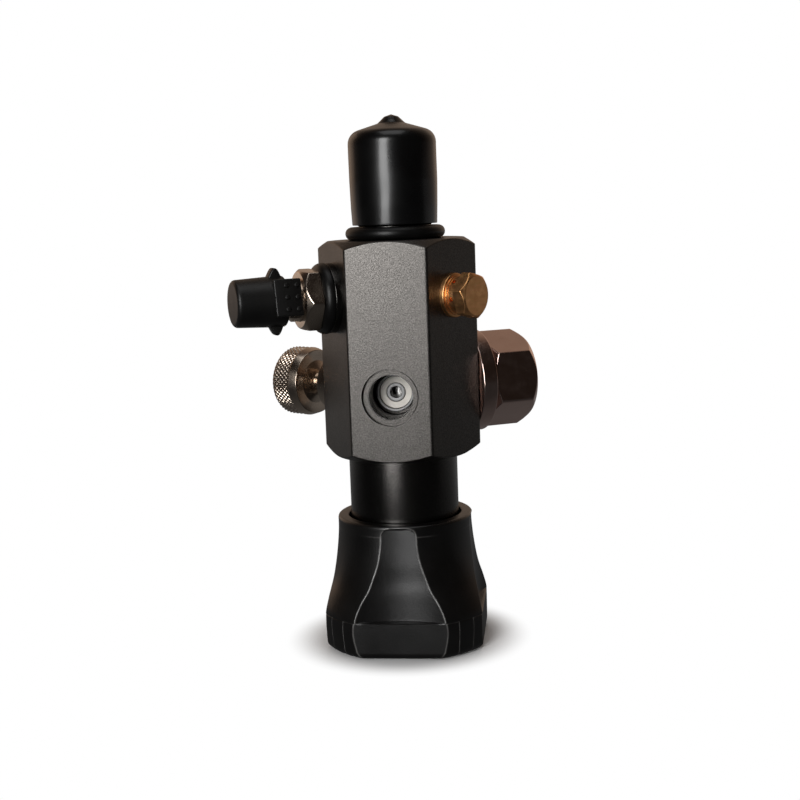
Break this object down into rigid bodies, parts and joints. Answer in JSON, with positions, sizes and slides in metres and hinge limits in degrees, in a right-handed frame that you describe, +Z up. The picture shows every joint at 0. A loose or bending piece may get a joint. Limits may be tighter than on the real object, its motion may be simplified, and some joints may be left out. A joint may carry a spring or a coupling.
{
  "type": "high-pressure air cylinder valve",
  "caption": "Air cylinder valve with a lobed handwheel, hexagonal body, capped tank thread, capped fill nipple, burst-disc plug, knurled bleed screw and blanked port.",
  "frame": {"origin": "centre of the handwheel's flat end, which the valve stands on", "axes": "+Z up the valve's axis towards the tank thread; the outlet port faces -Y"},
  "size_m": [0.0682, 0.0481, 0.1231],
  "materials": {
    "black_aluminium": "bead-blasted, black anodised",
    "black_vinyl": "glossy dipped vinyl",
    "grip_rubber": "satin moulded rubber",
    "cap_rubber": "satin moulded rubber",
    "seal_rubber": "satin",
    "seal_plastic": "satin white",
    "nickel": "nickel plate, bright",
    "plug_chrome": "nickel plate, mirror bright",
    "steel": "turned",
    "spring_steel": "drawn wire",
    "copper_brass": "turned, slightly tarnished",
    "bronze": "sintered, porous"
  },
  "bodies": {
    "body": {"valve_body": "black_aluminium", "tank_o_ring": "seal_rubber", "inlet_filter": "bronze", "bonnet": "black_aluminium", "bonnet_o_ring": "seal_rubber", "thrust_washer": "seal_plastic", "fill_nipple": "nickel", "fill_backing_ring": "black_aluminium", "fill_seal_ring": "seal_rubber", "fill_retainer": "steel", "fill_spring": "spring_steel", "burst_plug": "copper_brass", "burst_disc": "copper_brass", "burst_washer": "copper_brass", "bleed_collar": "nickel", "bleed_collar_seal": "seal_rubber", "port_plug": "plug_chrome", "port_plug_o_ring": "seal_rubber", "outlet_nozzle": "steel", "outlet_face_seal": "seal_plastic", "outlet_ferrule": "steel"},
    "handwheel": {"handwheel": "grip_rubber", "handwheel_hub": "steel", "handwheel_washer": "steel", "handwheel_nut": "nickel", "handwheel_cover": "grip_rubber", "spindle": "steel", "spindle_o_rings": "seal_rubber"},
    "seat_plug": {"seat_plug": "steel", "seat_insert": "seal_plastic"},
    "tank_cap": {"tank_cap": "black_vinyl"},
    "dust_cap": {"dust_cap": "cap_rubber"},
    "fill_poppet": {"fill_poppet": "steel", "fill_poppet_seal": "seal_rubber"},
    "bleed_tip": {"bleed_tip": "steel"},
    "bleed_screw": {"bleed_screw": "nickel", "bleed_o_ring": "seal_rubber"}
  },
  "joints": [
    {"name": "handwheel_turn", "type": "hinge", "parent": "body", "child": "handwheel", "pos_m": [0, 0, 0.03], "axis": [0, 0, -1], "range_deg": [0, 720]},
    {"name": "seat_lift", "type": "slide", "parent": "handwheel", "child": "seat_plug", "axis": [0, 0, -1], "range_m": [0, 0.0025]},
    {"name": "tank_cap_pull", "type": "slide", "parent": "body", "child": "tank_cap", "axis": [0, 0, 1], "range_m": [0, 0.045]},
    {"name": "dust_cap_pull", "type": "slide", "parent": "body", "child": "dust_cap", "axis": [-0.866, -0.5, 0], "range_m": [0, 0.03]},
    {"name": "fill_poppet_open", "type": "slide", "parent": "body", "child": "fill_poppet", "axis": [0.866, 0.5, 0], "range_m": [0, 0.0012], "stiffness_N_per_m": 400, "springref_m": -0.001, "deforming": ["fill_spring"]},
    {"name": "bleed_slide", "type": "slide", "parent": "body", "child": "bleed_tip", "axis": [-0.866, 0.5, 0], "range_m": [0, 0.0015]},
    {"name": "bleed_turn", "type": "hinge", "parent": "bleed_tip", "child": "bleed_screw", "pos_m": [-0.02598, 0.015, 0.0602], "axis": [-0.866, 0.5, 0], "range_deg": [0, 730]}
  ],
  "couplings": [
    {"joint": "seat_lift", "follows": "handwheel_turn", "m_per_rad": 0.00019894},
    {"joint": "bleed_turn", "follows": "bleed_slide", "rad_per_m": 8377.6}
  ]
}
